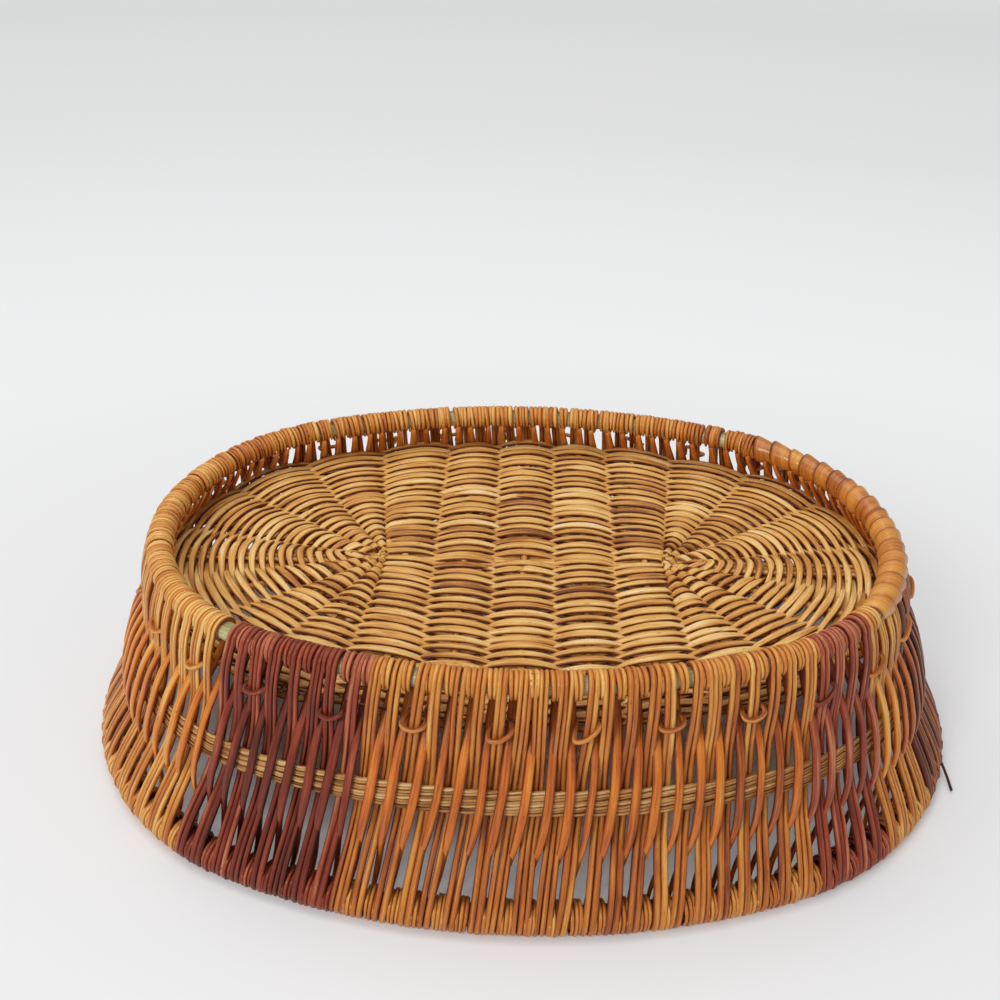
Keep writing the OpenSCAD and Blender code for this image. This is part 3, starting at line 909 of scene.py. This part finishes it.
cross_bundle = Bundle()
for x in np.linspace(-cross_reach, cross_reach, CROSS_COUNT):
    reach = math.sqrt((side_radius + base_edge) ** 2 - x * x) - side_centre
    for layer in (-1, 1):
        y = np.linspace(-reach, reach, CROSS_STEPS)
        opened = np.exp(-(y / slit_half) ** SLIT_SHARPNESS)
        lift = layer * (cross_stick / 4 + long_thickness / 2 * opened)
        path = np.stack([x + slow_waves(y, 2 * reach, CROSS_WAVER), y, base_middle + lift], -1)
        tint = BASE_STICK_TINT + dice.normal(0, BASE_STICK_SPREAD)
        cross_bundle.strand(path, (1, 0, 0), cross_stick, cross_stick / 2, tint)
make_piece("base_cross_rods", cross_bundle, [straw_finish], "straw_wicker", "base_cross_sticks")

# %% Long sticks
LONG_STEPS, LONG_WAVER, LONG_TINT = 60, 0.05, 0.5
LONG_WIDTH_SHARE, LONG_SQUARE = 0.63, 0.7
long_reach = long_high[0]
long_lane = long_high[1] * 2 / 3
long_width = long_high[1] * LONG_WIDTH_SHARE
long_bundle = Bundle()
for lane in (-1, 0, 1):
    x = np.linspace(-long_reach, long_reach, LONG_STEPS)
    height = base_middle + slow_waves(x, 2 * long_reach, LONG_WAVER)
    path = np.stack([x, lane * long_lane * np.ones_like(x), height], -1)
    long_bundle.strand(path, (0, 1, 0), long_width, long_thickness, LONG_TINT, square=LONG_SQUARE)
make_piece("base_long_splints", long_bundle, [straw_finish], "straw_wicker", "base_long_sticks")

# %% Fan sticks
FAN_STEP, FAN_LAST = math.radians(24), 3
FAN_STICK, FAN_ROOM, FAN_STEPS = 2.2, 4.9, 16
FAN_TIP_STEPS, FAN_TIP = 4, 0.5
fan_reach = np.linspace(FAN_ROOM / math.sin(FAN_STEP), end_radius + base_edge, FAN_STEPS)
fan_size = FAN_STICK * tapered(len(fan_reach), FAN_TIP_STEPS, FAN_TIP)
fan_bundle = Bundle()
for end in (-1, 1):
    for number in range(-FAN_LAST, FAN_LAST + 1):
        if number == 0:
            continue
        turn = number * FAN_STEP
        x = end * (end_centre + fan_reach * math.cos(turn))
        path = np.stack([x, fan_reach * math.sin(turn), np.full_like(fan_reach, base_middle)], -1)
        tint = BASE_STICK_TINT + dice.normal(0, BASE_STICK_SPREAD)
        fan_bundle.strand(path, up, fan_size, fan_size, tint)
make_piece("base_fan_rods", fan_bundle, [straw_finish], "straw_wicker", "base_fan_sticks")

# %% [markdown]
# Weaving of the base
#
# Flat pale strips go round and round from the edge to the middle, over one stick and under the next,
# and each row takes the other way to its neighbour. No strip is long enough for a whole round, so rows
# are spliced: a new strip starts under the thin end of the last. Rows near the middle close up into
# long lenses. A bump pattern on a plate would be quicker, but the base is seen from both sides and
# through its gaps. So every strip is swept, and a phase that grows by half a wave at each stick gives
# the over and under.

# %% Rows of the base
ROW_SAMPLES = 576
SPINE_SHARE = 0.47
CORNER_SHARE = 0.78
EDGE_ROOM = 0.4
edge_share = np.linspace(0, girth, ROW_SAMPLES, endpoint=False)
edge_points, edge_way = wall_points(edge_share, 0, base_edge - EDGE_ROOM, 0.0)
spine_points = edge_points * np.array((SPINE_SHARE, 0, 0))


def sticks_passed(points):
    """How many sticks a row has passed, counted anticlockwise from the middle of the right end."""
    x, y = np.abs(points[:, 0]), points[:, 1]
    sign = np.where(y < 0, -1.0, 1.0)
    turn = np.arctan2(np.abs(y), np.maximum(x - end_centre, 1e-6)) / FAN_STEP
    last_turn = math.pi / 2 / FAN_STEP - FAN_LAST
    on_fan = np.where(turn < FAN_LAST, turn, FAN_LAST + CORNER_SHARE * (turn - FAN_LAST) / last_turn)
    between = FAN_LAST + CORNER_SHARE + (1 - CORNER_SHARE) * (end_centre - x) / (end_centre - cross_reach)
    step = 2 * cross_reach / (CROSS_COUNT - 1)
    on_cross = np.where(x > cross_reach, between, FAN_LAST + 1 + (cross_reach - x) / step)
    from_right = np.where(x > end_centre, on_fan, on_cross)
    half = 2 * (FAN_LAST + 1) + CROSS_COUNT - 1
    from_right = np.where(points[:, 0] < 0, half - from_right, from_right)
    return sign * from_right


print("points along a row:", len(edge_points))

# %% Base weave
ROW_COUNT, OUTER_ROWS, MIDDLE_ROWS = 40, 12, 26
ROW_CREST, ROW_WAIST = 1.62, 1.2
# The last number darkens the edges of every strip: painted shade between the rows.
ROW_THICKNESS, ROW_FLATNESS, ROW_SQUARE, ROW_SEAM_SHADE = 1.0, 0.8, 0.5, 0.7
ROW_WAVES, ROW_UNEVEN, ROW_SWELL, ROW_TILT = 9, 0.16, 0.07, 0.1
# The rows' tint is set a little darker, partly their own colour and partly painted shade over the base.
ROW_TINT, ROW_TINT_SPREAD, ROW_TINT_WAVES = 0.49, 0.09, 0.05
LONG_ROW_PIECES, SHORT_ROW_PIECES, CUT_SPREAD = 3, 2, 0.15
SPLICE_LAP, SPLICE_DROP, SPLICE_TIP = 10, 0.7, 0.35
weave_lift = cross_stick / 2 + ROW_THICKNESS / 2 + SNUG
row_pitch = np.linalg.norm(edge_points - spine_points, axis=1) / ROW_COUNT
weave_bundles = {"outer": Bundle(), "middle": Bundle(), "inner": Bundle()}
for row in range(ROW_COUNT):
    inwards = 1 - (row + 0.5) / ROW_COUNT
    uneven = slow_waves(edge_share, girth, ROW_UNEVEN / ROW_COUNT, ROW_WAVES)
    line = spine_points + (inwards + uneven)[:, None] * (edge_points - spine_points)
    wave = np.cos(math.pi * (sticks_passed(line) + row))
    line[:, 2] = base_middle + weave_lift * np.sign(wave) * np.abs(wave) ** ROW_FLATNESS
    swell = 1 + slow_waves(edge_share, girth, ROW_SWELL, ROW_WAVES)
    width = row_pitch * (ROW_WAIST + (ROW_CREST - ROW_WAIST) * wave**2) * swell
    bundle = weave_bundles["outer" if row < OUTER_ROWS else "middle" if row < MIDDLE_ROWS else "inner"]
    pieces = LONG_ROW_PIECES if row < MIDDLE_ROWS else SHORT_ROW_PIECES
    cuts = np.arange(pieces) + dice.uniform(0, 1) + dice.uniform(-CUT_SPREAD, CUT_SPREAD, pieces)
    cuts = cuts / pieces
    for piece in range(pieces):
        first = round(cuts[piece] * ROW_SAMPLES)
        next_cut = cuts[piece + 1] if piece + 1 < pieces else cuts[0] + 1
        last = round(next_cut * ROW_SAMPLES) + SPLICE_LAP
        index = np.arange(first, last) % ROW_SAMPLES
        strip = line[index].copy()
        strip[:SPLICE_LAP, 2] -= np.linspace(SPLICE_DROP, 0, SPLICE_LAP)
        size = tapered(len(index), SPLICE_LAP, SPLICE_TIP)
        tint = ROW_TINT + dice.normal(0, ROW_TINT_SPREAD)
        tint = tint + slow_waves(edge_share[index], girth / 2, ROW_TINT_WAVES)
        tilt = slow_waves(edge_share[index], girth, ROW_TILT, ROW_WAVES)
        across = np.cross(np.array(up), edge_way[index]) + tilt[:, None] * np.array(up)
        bundle.strand(
            strip, across, width[index] * size, ROW_THICKNESS * np.sqrt(size), tint,
            square=ROW_SQUARE, seam_shade=ROW_SEAM_SHADE,
        )
for name, bundle in weave_bundles.items():
    make_piece("base_strips_" + name, bundle, [straw_finish], "straw_wicker", "base_weave_" + name)

# %% [markdown]
# Ties
#
# Every fourth pair is caught by a loop of strand that comes out of the base's edge, passes round the
# pair and goes back in. It hangs a little, as a hand-pulled loop does. A torus could stand for each
# loop, but it has no ends to go into the base, and all would be alike. So a soft curve through seven
# points gives one loop, and the dice tilt it and let it sag.

# %% Ties
TIE_EVERY, TIE_STRAND = 4, 1.45
TIE_LIFT, TIE_LIFT_SPREAD, TIE_TUCK = 2.2, 0.5, 1.5
TIE_TILT, TIE_SAG = (-0.4, 2.2), (0.8, 1.8)
TIE_TIP_STEPS, TIE_TIP = 4, 0.5
TIE_TINT, TIE_TINT_SPREAD = 0.68, 0.1
tie_bundle = Bundle()
for unit in range(0, unit_count - TIE_EVERY // 2, TIE_EVERY):
    z = base_middle + TIE_LIFT + dice.normal(0, TIE_LIFT_SPREAD)
    outside = pair_line(z) + PAIR_STRAND / 2 + TIE_STRAND / 2
    inside = base_edge - TIE_TUCK
    tilt = dice.uniform(*TIE_TILT)
    sag = dice.uniform(*TIE_SAG)
    local = smooth_path([
        (-1.8, inside, 0.4), (-3.1, outside - 2.2, -tilt), (-2.8, outside - 0.3, -tilt - sag * 0.6),
        (0, outside + 0.3, -sag), (2.8, outside - 0.2, tilt - sag * 0.5), (3.5, outside - 2.4, tilt),
        (2.2, inside, 0.6),
    ])
    shift = lean_shift(z, PAIR_UPPER_LEAN, PAIR_LOWER_LEAN) + unit_slip[unit]
    path = wall_points(unit * unit_step, shift + local[:, 0], local[:, 1], z + local[:, 2])[0]
    size = TIE_STRAND * tapered(len(path), TIE_TIP_STEPS, TIE_TIP)
    tint = TIE_TINT + dice.normal(0, TIE_TINT_SPREAD)
    tie_bundle.strand(path, np.array(up), size, size, tint, finish=stained(unit))
make_piece("base_tie_loops", tie_bundle, pair_finishes, "honey_wicker", "base_ties")

# %% [markdown]
# Table and light
#
# The basket stands on a plain white table under wide, soft light, so shadows are pale and the wall is
# lit into its gaps. A sky image could light it, but a plain white world with two area lamps is easier
# to judge, and keeps colours near what was written. Lit only by these, the table would look grey. So it
# also glows for rays from the camera, off gloss and through glass, less near the basket, where the
# shadow has to stay. The room behind is brighter for rays from the camera alone.

# %% Table
FLOOR_HALF = 3.0
FLOOR_CORNERS = [(-1, -1), (1, -1), (1, 1), (-1, 1)]
TABLE_COLOUR, TABLE_ROUGHNESS = (0.86, 0.865, 0.875, 1), 0.3
GLOW_COLOUR = (0.93, 0.935, 0.94, 1)
SHADE_MIDDLE, SHADE_HALF_LENGTH, SHADE_HALF_WIDTH = 0.015, 0.13, 0.09
# From reach, to reach, and the glow gained between them
GLOW_STEPS = [(0.8, 1.2, 0.2), (1.2, 3.2, 0.46), (3.6, 8.0, -0.25), (15.0, 28.0, 0.5)]
floor_mesh = bpy.data.meshes.new("table_top")
floor_mesh.from_pydata(
    [(x * FLOOR_HALF, y * FLOOR_HALF, 0) for x, y in FLOOR_CORNERS], [], [(0, 1, 2, 3)]
)
floor = bpy.data.objects.new("table_top", floor_mesh)
bpy.context.scene.collection.objects.link(floor)
floor_finish = bpy.data.materials.new("white_table")
floor_finish.use_nodes = True
floor_mesh.materials.append(floor_finish)
floor_tree = floor_finish.node_tree


def floor_node(kind, operation=None):
    """A node of the table's finish."""
    made = floor_tree.nodes.new("ShaderNode" + kind)
    if operation:
        made.operation = operation
    return made


floor_shader = floor_tree.nodes["Principled BSDF"]
floor_shader.inputs["Base Color"].default_value = TABLE_COLOUR
floor_shader.inputs["Roughness"].default_value = TABLE_ROUGHNESS
print("table", 2 * FLOOR_HALF, "metres wide")

# %% Glow of the table
light_path = floor_node("LightPath")
seen = light_path.outputs["Is Camera Ray"]
for ray in ("Is Glossy Ray", "Is Transmission Ray"):
    either = floor_node("Math", "MAXIMUM")
    floor_tree.links.new(seen, either.inputs[0])
    floor_tree.links.new(light_path.outputs[ray], either.inputs[1])
    seen = either.outputs[0]

place = floor_node("NewGeometry")
shade_map = floor_node("Mapping")
shade_map.vector_type = "TEXTURE"
shade_map.inputs["Location"].default_value = (0, SHADE_MIDDLE, 0)
shade_map.inputs["Scale"].default_value = (SHADE_HALF_LENGTH, SHADE_HALF_WIDTH, 1)
floor_tree.links.new(place.outputs["Position"], shade_map.inputs["Vector"])
reach = floor_node("VectorMath", "LENGTH")
floor_tree.links.new(shade_map.outputs["Vector"], reach.inputs[0])
glow = None
for near, far, gain in GLOW_STEPS:
    part = floor_node("MapRange")
    for socket, value in zip(("From Min", "From Max", "To Max"), (near, far, gain)):
        part.inputs[socket].default_value = value
    floor_tree.links.new(reach.outputs["Value"], part.inputs["Value"])
    so_far = floor_node("Math", "ADD")
    so_far.inputs[1].default_value = 0.0
    floor_tree.links.new(part.outputs["Result"], so_far.inputs[0])
    if glow:
        floor_tree.links.new(glow, so_far.inputs[1])
    glow = so_far.outputs[0]

share = floor_node("Math", "MULTIPLY")
floor_tree.links.new(seen, share.inputs[0])
floor_tree.links.new(glow, share.inputs[1])
floor_glow = floor_node("Emission")
floor_glow.inputs["Color"].default_value = GLOW_COLOUR
floor_mix = floor_node("MixShader")
floor_tree.links.new(share.outputs[0], floor_mix.inputs[0])
floor_tree.links.new(floor_shader.outputs["BSDF"], floor_mix.inputs[1])
floor_tree.links.new(floor_glow.outputs["Emission"], floor_mix.inputs[2])
floor_output = floor_tree.nodes["Material Output"]
floor_tree.links.new(floor_mix.outputs["Shader"], floor_output.inputs["Surface"])
print("glow steps:", len(GLOW_STEPS))

# %% Room and lamps
ROOM_LIGHT, BACKDROP = 0.38, 0.87
LAMP_AIM = (0, 0, 0.03)
world = bpy.data.worlds.new("soft_room")
world.use_nodes = True
world_tree = world.node_tree
room = world_tree.nodes["Background"]
room.inputs["Color"].default_value = (1.0, 1.0, 1.0, 1)
backdrop = world_tree.nodes.new("ShaderNodeMapRange")
backdrop.inputs["To Min"].default_value = ROOM_LIGHT
backdrop.inputs["To Max"].default_value = BACKDROP
sight = world_tree.nodes.new("ShaderNodeLightPath")
world_tree.links.new(sight.outputs["Is Camera Ray"], backdrop.inputs["Value"])
world_tree.links.new(backdrop.outputs["Result"], room.inputs["Strength"])
bpy.context.scene.world = world


def soft_lamp(name, place, size, watts):
    """A square lamp that is aimed at the basket."""
    lamp_data = bpy.data.lights.new(name, "AREA")
    lamp_data.size = size
    lamp_data.energy = watts
    lamp = bpy.data.objects.new(name, lamp_data)
    lamp.location = place
    lamp.rotation_euler = (Vector(LAMP_AIM) - Vector(place)).to_track_quat("-Z", "Y").to_euler()
    bpy.context.scene.collection.objects.link(lamp)


soft_lamp("ceiling_lamp", (-0.2, 0.3, 2.0), size=1.8, watts=19.0)
soft_lamp("front_lamp", (-0.8, -1.3, 1.2), size=0.55, watts=12.5)
bpy.context.scene.view_settings.view_transform = "Standard"
print("table and lamps ready")
